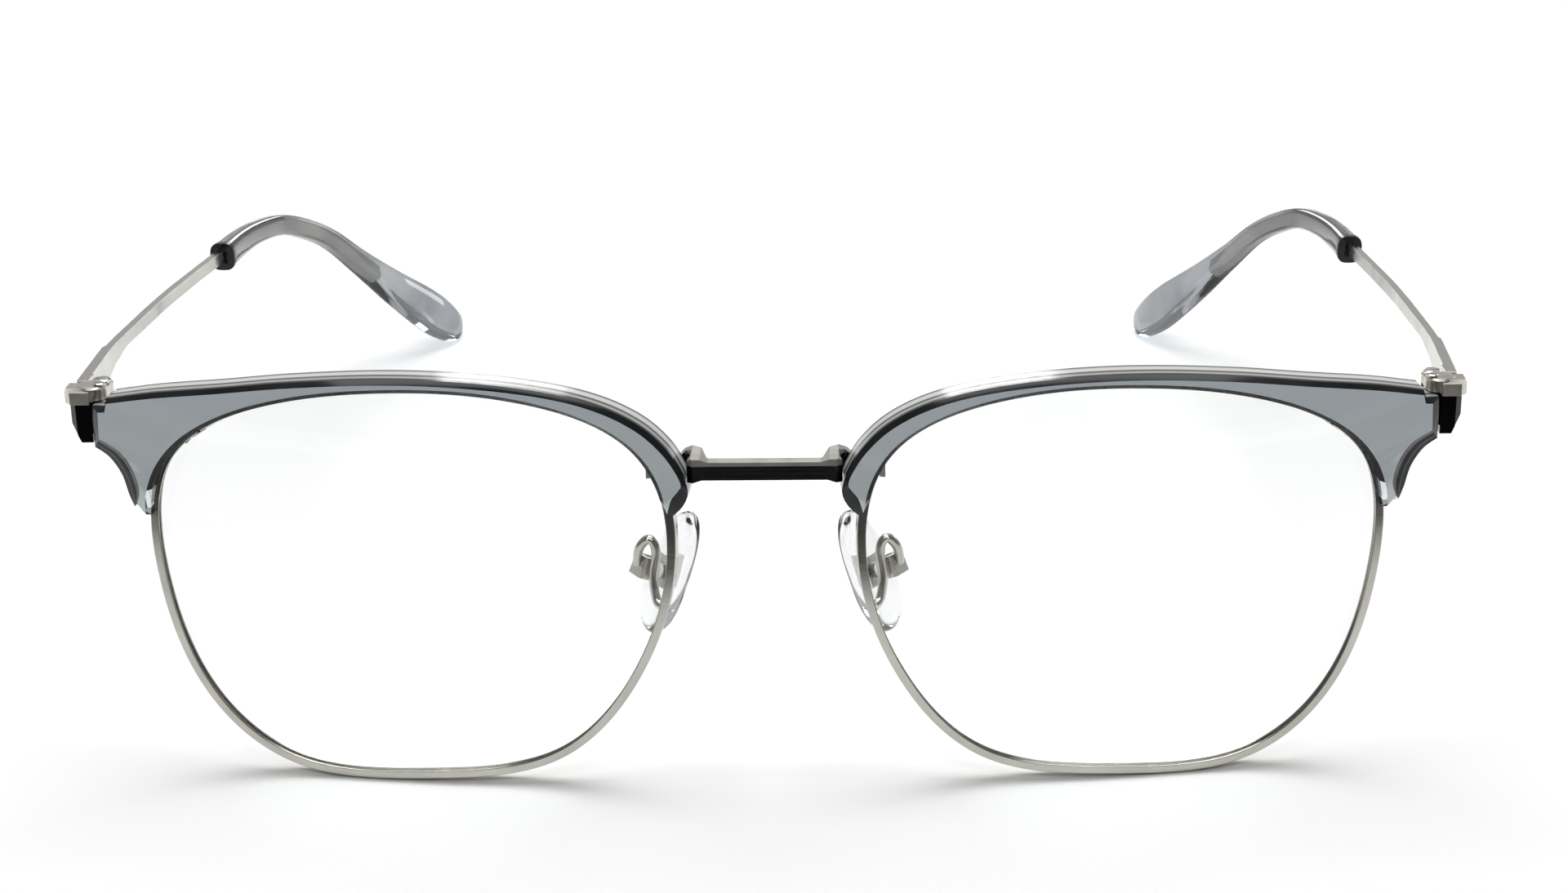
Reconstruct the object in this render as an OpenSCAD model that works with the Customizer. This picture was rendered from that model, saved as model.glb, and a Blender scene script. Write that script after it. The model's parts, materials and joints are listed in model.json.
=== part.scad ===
// Half rim (browline) eyeglasses, standing open on a table: full metal eyewires, plastic brow
// bars over their top halves, clear lenses, a metal bridge, rocking nose pads and folding
// metal temples that end in clear plastic tips. Millimetres. The front faces -Y, the wearer's
// head is on the +Y side, and Z is up. "right" is the +X side.

/* [Front] */
// Distance from the middle plane to the middle of each lens
eye_x = 36.7; // [36:0.1:38]
// Radius of the curve that each lens follows
base_r = 135; // [125:5:150]
// Angle at which each eye wraps round the face
wrap = 4.5; // [4:0.5:5]
// Backward lean of the front as it stands on the table
lean = 5.2; // [5:0.1:5.4]

/* [Rim and lens] */
// Width of the eyewire seen from the front
rim_w = 0.95; // [0.8:0.05:1]
// Depth of the eyewire from front to back
rim_d = 1.8; // [1.6:0.1:1.8]
// Thickness of the lens
lens_t = 1.3; // [1:0.1:1.4]
// Depth of the groove that holds the lens's edge
groove = 0.4; // [0.3:0.05:0.5]

/* [Brow bar] */
// Depth of the brow bar in front of the lens curve
brow_front = 2.3; // [2:0.1:2.5]
// Depth of the brow bar behind the lens curve
brow_back = 1.8; // [1.6:0.1:1.9]

/* [Bridge] */
// Height of the bridge bar
bridge_h = 1.9; // [1.8:0.05:2]
// Thickness of the bridge bar
bridge_d = 1.4; // [1.2:0.1:1.6]

/* [Hinge and temple] */
// Distance from the middle plane to the hinge pin
hinge_x = 69.7; // [69.6:0.05:69.8]
// Distance of the hinge pin behind the lens line
hinge_y = 11.9; // [11.8:0.05:12]
// Radius of the hinge knuckles
knuckle_r = 1.15; // [1.1:0.05:1.15]
// Radius of the hinge screw's shank
pin_r = 0.65; // [0.55:0.05:0.7]
// Height of the temple bar
bar_h = 1.5; // [1.4:0.1:1.8]
// Thickness of the temple bar
bar_t = 0.9; // [0.8:0.05:1]
// Radial play of each part that turns on a screw
play = 0.04; // [0.02:0.01:0.08]

/* [Nose pads] */
// Height of a nose pad
pad_h = 13.4; // [12:0.2:14]
// Width of a nose pad
pad_w = 7; // [6:0.2:7.4]
// Thickness of a nose pad
pad_t = 2.6; // [2.2:0.1:2.8]

/* [Hidden] */
$fn = 48;

metal = "silver";
smoke = "slategray";
clear = "whitesmoke";
skin = 0.05;                 // air left between pieces that are only fitted together
lens_y = rim_d / 2;          // the lens's middle surface, behind the rim's front face
steps = 8;                   // facets for each control point of a curve

// ---------------------------------------------------------------- curves

// Middle and end values of a uniform cubic B-spline
function basis(u) = [
    pow(1 - u, 3) / 6,
    (3 * pow(u, 3) - 6 * pow(u, 2) + 4) / 6,
    (-3 * pow(u, 3) + 3 * pow(u, 2) + 3 * u + 1) / 6,
    pow(u, 3) / 6
];
function slope(u) = [
    -pow(1 - u, 2) / 2,
    (3 * pow(u, 2) - 4 * u) / 2,
    (-3 * pow(u, 2) + 2 * u + 1) / 2,
    pow(u, 2) / 2
];

// Control points of the lens opening, temporal side +X, seen in the eye's own frame
LENS = [
    [26.8, -0.6], [27.5, 14.2], [14.2, 20.2], [1, 21.6], [-11.5, 21.1], [-25.3, 16.4],
    [-27.3, 2.3], [-22.8, -10.1], [-14.4, -20.4], [-0.3, -20.9], [14.2, -21.7], [23.4, -13]
];
lens_n = len(LENS);
function knot(i) = LENS[(floor(i) + lens_n) % lens_n];
function blend(t, w) = let (i = floor(t))
    w[0] * knot(i - 1) + w[1] * knot(i) + w[2] * knot(i + 1) + w[3] * knot(i + 2);
function lens_at(t) = blend(t, basis(t - floor(t)));
function lens_normal(t) = let (d = blend(t, slope(t - floor(t)))) [d[1], -d[0]] / norm(d);
// Point of the lens opening at t, moved outwards by d
function rim_at(t, d) = lens_at(t) + d * lens_normal(t);
function rim_outline(d) = [for (i = [0 : lens_n * steps - 1]) rim_at(i / steps, d)];

// Catmull-Rom curve through the rows of a list, any number of columns
function through(P, t) = let (
        i = min(floor(t), len(P) - 2),
        u = t - i,
        a = P[max(i - 1, 0)], b = P[i], c = P[i + 1], d = P[min(i + 2, len(P) - 1)]
    ) 0.5 * (2 * b + (c - a) * u + (2 * a - 5 * b + 4 * c - d) * pow(u, 2)
        + (3 * b - a - 3 * c + d) * pow(u, 3));
function run(P, n) = [for (i = [0 : (len(P) - 1) * n]) through(P, i / n)];

function unit(v) = v / norm(v);
// Depth of the lens curve behind the eye's origin at a point of the eye's plane
function sag(p) = base_r - sqrt(pow(base_r, 2) - pow(p[0], 2) - pow(p[1], 2));

// ---------------------------------------------------------------- frames

// Depth of a point of the eyewire's rear edge, and its height in the leaning front
function rear_edge(p) = base_r - sqrt(pow(base_r - rim_d, 2) - pow(p[0], 2) - pow(p[1], 2));
function leant(p) = p[1] * cos(lean) - (p[0] * sin(wrap) + rear_edge(p) * cos(wrap)) * sin(lean);
stand_z = -min([for (p = rim_outline(rim_w)) leant(p)]);
stand_y = -63.2;             // puts the middle of the whole part's depth at y = 0

module front_frame() {
    translate([0, stand_y, stand_z]) rotate([-lean, 0, 0]) children();
}

module eye_frame() {
    front_frame() translate([eye_x, 0, 0]) rotate([0, 0, wrap]) children();
}

// side = 1 is the +X half, side = -1 its mirror image
module half(side) {
    if (side > 0) children();
    else mirror([1, 0, 0]) children();
}

// Outline in the eye's X-Z plane, made solid between two distances from the lens curve
module curved_plate(points, front, back) {
    intersection() {
        translate([0, 14, 0]) rotate([90, 0, 0]) linear_extrude(24) polygon(points);
        difference() {
            translate([0, base_r, 0]) sphere(base_r + front, $fn = 240);
            translate([0, base_r, 0]) sphere(base_r - back, $fn = 240);
        }
    }
}

// Closed skin over rings of points, rings and ring points both counted clockwise from outside
module skinned(rings, cap) {
    m = len(rings[0]);
    n = len(rings);
    sides = [for (i = [0 : n - 2], j = [0 : m - 1]) each let (
            a = i * m + j, b = i * m + (j + 1) % m, c = a + m, d = b + m
        ) [[a, c, b], [b, c, d]]];
    first = cap;
    last = [for (f = cap) [for (k = [2, 1, 0]) f[k] + (n - 1) * m]];
    polyhedron([for (r = rings) each r], concat(sides, first, last));
}
function fan(m) = [for (i = [1 : m - 2]) [0, i, i + 1]];

// ---------------------------------------------------------------- rim and lens

lens_front = lens_t / 2 - lens_y;
lens_back = lens_t / 2 + lens_y;

module rim(side) {
    half(side) color(metal) eye_frame() difference() {
        curved_plate(rim_outline(rim_w), 0, rim_d);
        curved_plate(rim_outline(0), 2, rim_d + 2);
        curved_plate(rim_outline(groove + skin), lens_front + skin, lens_back + skin);
        slit(lock_at, 0.2);
    }
}

// Saw cut across the eyewire at t, through which the lens is put in
module slit(t, w) {
    p = lens_at(t);
    n = lens_normal(t);
    translate([p[0], 0, p[1]]) rotate([0, -atan2(n[1], n[0]), 0])
        translate([-1.5, -3, -w / 2]) cube([4.5, 14, w]);
}

module lens(side) {
    half(side) color(clear, 0.4) eye_frame()
        curved_plate(rim_outline(groove), lens_front, lens_back);
}

// ---------------------------------------------------------------- brow bar

brow_lip = 0.42;             // lowest edge of the brow bar outside the lens opening
brow_step = rim_w + 2 * skin;
brow_low = 1.5;              // front depth at the two bevelled lower ends
// Rows: outer edge X and Z, edge of the flat face X and Z, place on the lens opening, front depth
TEMPORAL = [
    [29.1, 8.0, 28.6, 8.5, 0.55, brow_low],
    [29.6, 9.4, 27.9, 10.4, 0.74, brow_front],
    [30.3, 11.4, 28.5, 12.5, 0.87, brow_front],
    [31.6, 13.1, 29.9, 14.3, 0.97, brow_front],
    [33.1, 14.1, 32.2, 15.4, 1.05, brow_front]
];
OUTER_END = [
    [33.1, 14.1, 32.2, 15.4, 1.05, brow_front],
    [33.1, 18.5, 32.2, 18.1, 1.28, brow_front]
];
NOTCH = [
    [33.1, 18.5, 32.2, 18.1, 1.28, brow_front],
    [31.6, 18.6, 31.4, 18.2, 1.30, brow_front]
];
NOTCH_RISE = [
    [31.6, 18.6, 31.4, 18.2, 1.30, brow_front],
    [31.3, 19.5, 31.2, 19.1, 1.34, brow_front]
];
TOP = [
    [31.3, 19.5, 31.2, 19.1, 1.34, brow_front],
    [26.0, 20.55, 25.9, 20.1, 1.52, brow_front],
    [19.0, 21.5, 18.95, 21.05, 1.80, brow_front],
    [12.0, 22.4, 11.95, 21.95, 2.22, brow_front],
    [4.0, 23.0, 4.0, 22.55, 2.78, brow_front],
    [-3.0, 23.05, -3.0, 22.6, 3.31, brow_front],
    [-10.0, 22.55, -9.95, 22.1, 3.86, brow_front],
    [-16.0, 21.55, -15.8, 21.15, 4.34, brow_front],
    [-20.6, 20.1, -20.35, 19.7, 4.70, brow_front],
    [-24.2, 18.1, -23.9, 17.7, 4.94, brow_front],
    [-26.7, 15.7, -26.3, 15.4, 5.12, brow_front],
    [-28.1, 13.4, -27.7, 13.3, 5.24, brow_front],
    [-28.75, 11.6, -28.2, 12.0, 5.32, brow_front],
    [-28.7, 10.4, -27.9, 11.4, 5.37, brow_front],
    [-28.1, 9.3, -27.2, 10.5, 5.42, brow_front],
    [-27.1, 8.3, -26.7, 8.8, 5.49, brow_low]
];
BROW_CAP = [
    [7, 8, 9], [7, 9, 0], [7, 0, 1], [7, 1, 2], [7, 2, 3], [7, 3, 4], [7, 4, 5], [7, 5, 6]
];

// Cross-section of the brow bar at one row: a bevelled bar with a step that holds the rim
function brow_ring(r) = let (
        o = [r[0], r[1]], f = [r[2], r[3]],
        lip = rim_at(r[4], brow_lip), seat = rim_at(r[4], brow_step),
        e = unit(o - lip), bevel = norm(o - f), y = -r[5]
    ) [for (q = [
        [lip + 0.35 * e, y],
        [f, y],
        [(o + f) / 2, y + 0.12 + 0.22 * bevel],
        [o, y + 0.25 + 0.5 * bevel],
        [o, brow_back - 0.35],
        [o - 0.35 * e, brow_back],
        [seat, brow_back],
        [seat, -2 * skin],
        [lip, -2 * skin],
        [lip, y + 0.35]
    ]) [q[0][0], sag(q[0]) + q[1], q[0][1]]];
function joined(parts) = [for (p = parts) each [for (i = [0 : len(p) - 2]) p[i]]];

module brow(side) {
    rows = concat(
        joined([run(TEMPORAL, 5), run(OUTER_END, 3), NOTCH, run(NOTCH_RISE, 2)]),
        run(TOP, 6)
    );
    half(side) color(smoke, 0.8) eye_frame()
        skinned([for (r = rows) brow_ring(r)], BROW_CAP);
}

// ---------------------------------------------------------------- screws

// Slotted screw along +Z: its shank ends at z = 0 and the head stands on z = length
module screw(shank_r, length, head_r, head_h) {
    slot_w = head_r * 0.3;
    difference() {
        union() {
            cylinder(r = shank_r, h = length);
            translate([0, 0, length]) cylinder(r = head_r, h = head_h * 0.7);
            translate([0, 0, length + head_h * 0.7])
                cylinder(r1 = head_r, r2 = head_r * 0.8, h = head_h * 0.3);
        }
        translate([-head_r - 1, -slot_w / 2, length + head_h * 0.55])
            cube([2 * head_r + 2, slot_w, head_h]);
    }
}

// ---------------------------------------------------------------- endpiece

end_in = 69.83;              // inner side of the endpiece's upright body
end_out = 72.5;              // outer side
end_top = 20.1;
wall_y = hinge_y - knuckle_r - 0.1;      // rear wall, just clear of the temple's knuckle
end_cap = 18.4;              // underside of the endpiece's wider cap
lug_x = 69.9;                // round lug over the brow bar's corner
lug_y = 8.6;
lug_r = 1.6;
lug_z = 18.75;
fix_x = 68.95;               // screw through the lug into the brow bar
fix_y = 8.2;
fix_r = 0.35;
// Hinge levels along the pin, lowest first
leaf_z = 15.4;
leaf_top = 19.3;
leaf_h = (leaf_top - leaf_z) / 3;
// Places along the eyewire's opening for the closing block and its screw
lock_at = 1.4;
lock_r = 1.9;                // distance of the lock screw outside the lens opening
lock_y = 2.75;               // distance of the lock screw behind the lens curve
lock_pin = 0.45;

// Children drawn at the rim's slit: X outwards along the lens curve, Y back, Z along the eyewire
module at_lock() {
    p = lens_at(lock_at);
    n = lens_normal(lock_at);
    eye_frame() translate([p[0], sag(p), p[1]]) rotate([0, -atan2(n[1], n[0]), 0])
        rotate([0, 0, asin(p * n / base_r) + 1]) children();
}

// Block with a sloping underside and a bevelled outer side, between the levels from and to
module endpiece_block(from, to, front, out) {
    side_view = [
        [front, 14.2], [front - 0.1, end_top - 0.4], [front + 0.3, end_top], [9.2, end_top],
        [wall_y, end_top - 0.5], [wall_y, 14.6]
    ];
    front_view = [
        [end_in, 13.6], [70.8, 13.6], [71.4, 15], [out, 16.1], [out, 19.5], [out - 0.6, end_top + 1],
        [end_in, end_top + 1]
    ];
    plan = [
        [end_in, 5], [out - 0.7, 5], [out - 0.7, front + 0.1], [out, front + 0.8], [out, 12],
        [end_in, 12]
    ];
    intersection() {
        rotate([90, 0, 90]) linear_extrude(80) polygon(side_view);
        translate([0, 20, 0]) rotate([90, 0, 0]) linear_extrude(20) polygon(front_view);
        translate([0, 0, from]) linear_extrude(to - from) polygon(plan);
    }
}

module endpiece_lug() {
    bevel = 0.2;
    h = end_top + 0.05 - lug_z;
    translate([lug_x, lug_y, lug_z]) {
        cylinder(r = lug_r, h = h - bevel);
        translate([0, 0, h - bevel]) cylinder(r1 = lug_r, r2 = lug_r - bevel, h = bevel);
    }
}

// Fixed knuckles above and below the temple's, and the plates that carry them
module fixed_knuckles() {
    for (z = [leaf_z, leaf_z + 2 * leaf_h + 0.04]) translate([0, 0, z]) {
        translate([hinge_x, hinge_y, 0]) cylinder(r = knuckle_r, h = leaf_h - 0.04);
        translate([hinge_x - 1, wall_y - 0.6, 0]) cube([1.9, hinge_y - wall_y + 0.6, leaf_h - 0.04]);
    }
}

// Flat arm behind the brow bar, from the eyewire's closing block to the endpiece
module endpiece_arm() {
    eye_frame() translate([0, 0, 14.3]) linear_extrude(3.4)
        polygon([[23.6, 5.05], [33.1, 7.15], [34.6, 7.15], [34.6, 8.0], [31.5, 8.0], [23.6, 6.35]]);
}

// Half of the closing block: stands on the rim's rear face and passes behind the brow bar
module lock_half(from, to) {
    at_lock() {
        translate([0.1, rim_d - 0.06, from]) cube([rim_w - 0.2, 1, to - from]);
        translate([0.5, brow_back + 0.15, from]) cube([2.6, 1.6, to - from]);
    }
}

module endpiece(side) {
    half(side) color(metal) difference() {
        union() {
            front_frame() {
                endpiece_block(end_cap, end_top + 1, 7, end_out);
                endpiece_block(13, end_cap + 0.01, 7.3, end_out - 0.4);
                endpiece_lug();
                fixed_knuckles();
            }
            endpiece_arm();
            lock_half(-1.7, -0.12);
        }
        front_frame() {
            translate([hinge_x, hinge_y, leaf_z - 1]) cylinder(r = pin_r, h = 8);
            translate([fix_x, fix_y, lug_z - 1]) cylinder(r = fix_r + 0.01, h = 3);
        }
        at_lock() translate([lock_r, lock_y, -3]) cylinder(r = lock_pin, h = 6);
    }
}

module rim_lug(side) {
    half(side) color(metal) difference() {
        lock_half(0.12, 1.7);
        at_lock() translate([lock_r, lock_y, -3]) cylinder(r = lock_pin, h = 6);
    }
}

module lock_screw(side) {
    half(side) color(metal) at_lock() translate([lock_r, lock_y, -1.6])
        screw(lock_pin - 0.01, 3.3, 0.75, 0.5);
}

module brow_screw(side) {
    depth = 2.2;             // into the brow bar
    half(side) color(metal) front_frame() translate([fix_x, fix_y, lug_z - depth])
        screw(fix_r, depth + end_top + 0.06 - lug_z, 0.6, 0.3);
}

// Rivet that holds the brow bar to the arm of the bridge
module brow_rivet(side) {
    half(side) color(metal) eye_frame() {
        p = [-26.9, 12.6];
        translate([p[0], sag(p) + 0.6, p[1]]) rotate([-90, 0, 0]) cylinder(r = 0.45, h = 2.9);
    }
}

module hinge_screw(side) {
    half(side) color(metal) front_frame() translate([hinge_x, hinge_y, leaf_z - 0.3])
        screw(pin_r - 0.01, leaf_top - leaf_z + 0.3, 0.95, 0.45);
}

// ---------------------------------------------------------------- temple

temple_y = wall_y + 0.2;     // front end, which stops against the endpiece's rear wall
housing_end = 26.5;
mouth_y = 80;
core_end = 6.6;              // place on TIP where the core ends
// Outer side of the bar in plan: Y, X
BAR = [[8, 71.85], [16, 72.5], [26, 73.4], [38, 73.75], [52, 73.9], [66, 73.65], [80, 73.2]];
function bar_x(y) = let (i = max([for (k = [0 : len(BAR) - 1]) if (BAR[k][0] <= y) k]),
        j = min(i, len(BAR) - 2), a = BAR[j], b = BAR[j + 1])
    through(BAR, j + (y - a[0]) / (b[0] - a[0]))[1];
function bar_top(y) = 20.5 - 0.064 * y;
// Middle line of the plastic tip, and half its width and half its thickness
TIP = [
    [72.3, 80, 14.55, 1.7, 1.5],
    [71.85, 86, 14.5, 1.6, 1.4],
    [70.95, 92.5, 14.25, 1.45, 1.35],
    [69.3, 99.5, 13.4, 1.4, 1.3],
    [67.1, 104.8, 11.5, 1.4, 1.25],
    [64.6, 109.4, 8.7, 1.45, 1.25],
    [61.6, 114.2, 4.1, 1.8, 1.35],
    [58.0, 118.9, -0.9, 2.65, 1.45],
    [54.2, 123.0, -5.4, 3.4, 1.5],
    [52.1, 125.1, -7.7, 3.2, 1.4],
    [50.6, 126.5, -9.28, 2.4, 1.1],
    [50.0, 127.1, -9.98, 1.2, 0.6]
];
function tip_path(u) = let (p = through(TIP, u)) [p[0], p[1], p[2]];
function tip_way(u) = unit(tip_path(u + 0.01) - tip_path(u));

// Two-sided outline about the core's middle line, seen along one axis (0 from the side, 2 from above)
function core_edge(axis, d) = [for (u = [0 : 0.25 : core_end]) let (
        p = tip_path(u), w = tip_way(u),
        a = axis == 0 ? [p[1], p[2]] : [p[0], p[1]],
        v = axis == 0 ? [w[1], w[2]] : [w[0], w[1]],
        n = [-v[1], v[0]] / norm(v)
    ) a + d * n];
function reversed(v) = [for (i = [len(v) - 1 : -1 : 0]) v[i]];

module temple_side() {
    core_h = 1.3;
    upper = concat([for (y = [temple_y, 20, housing_end, 40, 60, 78]) [y, bar_top(y)]],
        core_edge(0, core_h / 2));
    lower = concat([
            [temple_y, bar_top(temple_y) - 3.3], [housing_end - 4, bar_top(housing_end) - 2.7],
            [housing_end, bar_top(housing_end) - 2.2], [housing_end + 6, bar_top(32) - bar_h]
        ], [for (y = [40, 60, 78]) [y, bar_top(y) - bar_h]], core_edge(0, -core_h / 2));
    rotate([90, 0, 90]) linear_extrude(90) polygon(concat(lower, reversed(upper)));
}

module temple_plan() {
    core_t = 0.8;
    thin = 13.6;             // beside the fixed knuckles the bar is thin
    step = 0.2;              // the spring housing stands this proud of the bar
    outer = concat(
        [for (y = [temple_y : 1.5 : housing_end - 1]) [bar_x(y), y]],
        [[bar_x(housing_end - 0.4), housing_end - 0.4], [bar_x(housing_end) - step, housing_end]],
        [for (y = [28 : 2.5 : 78]) [bar_x(y) - step, y]],
        core_edge(2, -core_t / 2)
    );
    inner = concat(
        [[hinge_x + knuckle_r + 0.1, temple_y], [hinge_x + knuckle_r + 0.1, thin]],
        [for (y = [thin + 0.4 : 1.5 : housing_end - 3]) [bar_x(y) - step - bar_t, y]],
        [for (y = [housing_end : 2.5 : 78]) [bar_x(y) - step - bar_t, y]],
        core_edge(2, core_t / 2)
    );
    linear_extrude(60, center = true) polygon(concat(outer, reversed(inner)));
}

module temple(side) {
    z = leaf_z + leaf_h + 0.04;
    half(side) color(metal) front_frame() difference() {
        union() {
            intersection() {
                temple_side();
                temple_plan();
            }
            translate([hinge_x, hinge_y, z]) cylinder(r = knuckle_r, h = leaf_h - 0.08);
            translate([hinge_x, hinge_y - 0.6, z]) cube([1.8, 1.5, leaf_h - 0.08]);
        }
        translate([hinge_x, hinge_y, leaf_z - 1]) cylinder(r = pin_r + play, h = 8);
    }
}

// Rounded box outline as a ring of points: half sizes a and b, sharper corners for a larger power
function oval(a, b, power, n) = [for (i = [0 : n - 1]) let (
        c = cos(360 * i / n), s = sin(360 * i / n)
    ) [a * sign(c) * pow(abs(c), 2 / power), b * sign(s) * pow(abs(s), 2 / power)]];

function tip_ring(u) = let (
        q = through(TIP, u), p = [q[0], q[1], q[2]], w = tip_way(min(u, len(TIP) - 1.02)),
        thick = unit([1, 0, 0] - w[0] * w), wide = cross(thick, w)
    ) [for (o = oval(q[3], q[4], 3, 20)) p + o[0] * wide + o[1] * thick];

module temple_tip(side) {
    half(side) color(smoke, 0.6) front_frame()
        skinned([for (i = [0 : (len(TIP) - 1) * 4]) tip_ring(i / 4)], fan(20));
}

// Dark ring that closes the mouth of the plastic tip round the metal bar
module tip_collar(side) {
    long = 0.9;
    half(side) color("dimgray") front_frame()
        translate([TIP[0][0], mouth_y - 0.1, TIP[0][2]]) rotate([90, 0, 3]) difference() {
            linear_extrude(long) polygon(oval(TIP[0][4] + 0.08, TIP[0][3] + 0.08, 3, 48));
            translate([0, 0, -1]) linear_extrude(4)
                square([bar_t + 0.3, bar_h + 0.3], center = true);
        }
}

// ---------------------------------------------------------------- bridge

module bridge() {
    bar_top_z = 14.3;
    bar_y = -0.6;
    reach = 7.3;             // half length of the bar
    half_plan = [
        [-0.1, bar_y], [reach, bar_y], [reach + 0.6, bar_y + 0.5], [reach + 0.3, 1],
        [reach + 0.2, 2.6], [8.1, 3.6], [11.7, 3.6], [11.7, 2.6], [12.3, 2.6], [12.3, 4.5],
        [8.4, 4.8], [6.5, 3.3], [5.9, bar_y + bridge_d], [-0.1, bar_y + bridge_d]
    ];
    half_front = [
        [-0.1, bar_top_z - bridge_h], [reach - 0.9, bar_top_z - bridge_h], [reach, 12.1],
        [12.5, 11.6], [12.5, 13.2], [8.8, 13.6], [8.3, 14.1], [7.5, 14.6], [6.6, 14.6],
        [5.7, bar_top_z], [-0.1, bar_top_z]
    ];
    for (s = [1, -1]) half(s) color(metal) front_frame() difference() {
        intersection() {
            linear_extrude(30) polygon(half_plan);
            translate([0, 20, 0]) rotate([90, 0, 0]) linear_extrude(40) polygon(half_front);
        }
        // fine engraved lines along the bar's front
        for (k = [1 : 3]) translate([-1, bar_y - 1, bar_top_z - bridge_h * k / 4 - 0.05])
            cube([reach - 0.2, 1.06, 0.1]);
    }
}

// ---------------------------------------------------------------- nose pads

pad_x = 10.6;
pad_y = 7.6;
pad_z = -0.65;
pad_splay = 32;              // turn of the pad's face towards the wearer
pad_flare = 24;              // outward lean of the pad's lower end
box_gap = 1.9;
box_r = 1.15;
cheek = 0.5;                 // thickness of each cheek of the pad box
tongue = 1.1;                // width of the core between the cheeks

// Pad's own frame: X towards the rim, Y along its width, Z up
module pad_frame() {
    front_frame() translate([pad_x, pad_y, pad_z]) rotate([0, 0, -pad_splay])
        rotate([0, -pad_flare, 0]) children();
}

// One level of the pad, v from 0 at its foot to 1 at its head, hollow on the rim side
function pad_ring(v) = let (
        c = cos(180 * v), wide = sqrt(max(1 - pow(abs(c), 2.6), 0)),
        a = pad_t / 2 * pow(wide, 0.8), b = pad_w / 2 * wide * (1 + 0.12 * c)
    ) [for (o = oval(a, b, 2.4, 20)) [o[0] - 0.09 * pow(c, 2) * pad_t, o[1], -c * pad_h / 2]];

module nose_pad(side) {
    half(side) color(clear, 0.5) pad_frame()
        skinned([for (i = [1 : 21]) pad_ring(i / 22)], fan(20));
}

module pad_core(side) {
    half(side) color(metal) pad_frame() difference() {
        union() {
            translate([0.3, -tongue / 2, -0.8]) cube([box_gap + 0.4, tongue, 1.6]);
            translate([box_gap + 0.7, tongue / 2, 0]) rotate([90, 0, 0])
                cylinder(r = 0.8, h = tongue);
            translate([0.25, -1.6, -1.6]) cube([0.5, 3.2, 3.2]);
        }
        translate([box_gap + 0.7, 5, 0]) rotate([90, 0, 0]) cylinder(r = 0.4 + play, h = 10);
    }
}

module pad_box(side) {
    half(side) color(metal) pad_frame() translate([box_gap + 0.7, 0, 0]) difference() {
        union() {
            rotate([90, 0, 0]) cylinder(r = box_r, h = tongue + 2 * cheek + 0.16, center = true);
            translate([0, -tongue / 2 - cheek - 0.08, -box_r])
                cube([1.5, tongue + 2 * cheek + 0.16, 2 * box_r]);
        }
        translate([-2, -tongue / 2 - 0.08, -2]) cube([3, tongue + 0.16, 4]);
        rotate([90, 0, 0]) cylinder(r = 0.4, h = 6, center = true);
    }
}

module pad_screw(side) {
    half_w = tongue / 2 + cheek + 0.08;
    half(side) color(metal) pad_frame() translate([box_gap + 0.7, -half_w, 0])
        rotate([-90, 0, 0]) screw(0.39, 2 * half_w, 0.7, 0.35);
}

// Middle line of the wire that holds the pad box, from the rim's rear face
ARM = [
    [10.9, 2.1, -2.8], [11.1, 2.9, -2.7], [11.7, 3.7, -2.2], [12.0, 4.3, -0.2], [11.7, 4.7, 2.2],
    [11.9, 4.9, 3.6], [12.6, 5.1, 4.0], [13.5, 5.3, 2.9], [13.75, 5.55, 1.1]
];
function arm_path(u) = through(ARM, u);
function arm_ring(u) = let (
        w = unit(arm_path(min(u, len(ARM) - 1.02) + 0.01) - arm_path(min(u, len(ARM) - 1.02))),
        side_way = unit(cross(w, [1, 0.3, 0])), up_way = cross(w, side_way)
    ) [for (o = oval(0.5, 0.5, 2, 12)) arm_path(u) + o[0] * side_way + o[1] * up_way];

module pad_arm(side) {
    half(side) color(metal) front_frame()
        skinned([for (i = [0 : (len(ARM) - 1) * 5]) arm_ring(i / 5)], fan(12));
}

bridge();
rim(1);  // rim_right
rim(-1);  // rim_left
lens(1);  // lens_right
lens(-1);  // lens_left
brow(1);  // brow_right
brow(-1);  // brow_left
brow_screw(1);  // brow_screw_right
brow_screw(-1);  // brow_screw_left
brow_rivet(1);  // brow_rivet_right
brow_rivet(-1);  // brow_rivet_left
endpiece(1);  // endpiece_right
endpiece(-1);  // endpiece_left
rim_lug(1);  // rim_lug_right
rim_lug(-1);  // rim_lug_left
lock_screw(1);  // lock_screw_right
lock_screw(-1);  // lock_screw_left
hinge_screw(1);  // hinge_screw_right
hinge_screw(-1);  // hinge_screw_left
temple(1);  // temple_right
temple(-1);  // temple_left
tip_collar(1);  // tip_collar_right
tip_collar(-1);  // tip_collar_left
temple_tip(1);  // temple_tip_right
temple_tip(-1);  // temple_tip_left
pad_arm(1);  // pad_arm_right
pad_arm(-1);  // pad_arm_left
pad_box(1);  // pad_box_right
pad_box(-1);  // pad_box_left
pad_screw(1);  // pad_screw_right
pad_screw(-1);  // pad_screw_left
pad_core(1);  // pad_core_right
pad_core(-1);  // pad_core_left
nose_pad(1);  // nose_pad_right
nose_pad(-1);  // nose_pad_left
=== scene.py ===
"""Half rim (browline) eyeglasses, standing open on a white table.

Lengths taken over from the part's source are in millimetres, and everything in Blender is in
metres. FRONT and EYE turn the part's own leaning frames into the shared frame.
"""

import json
import math

import bmesh
import bpy
from mathutils import Matrix, Vector


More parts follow.
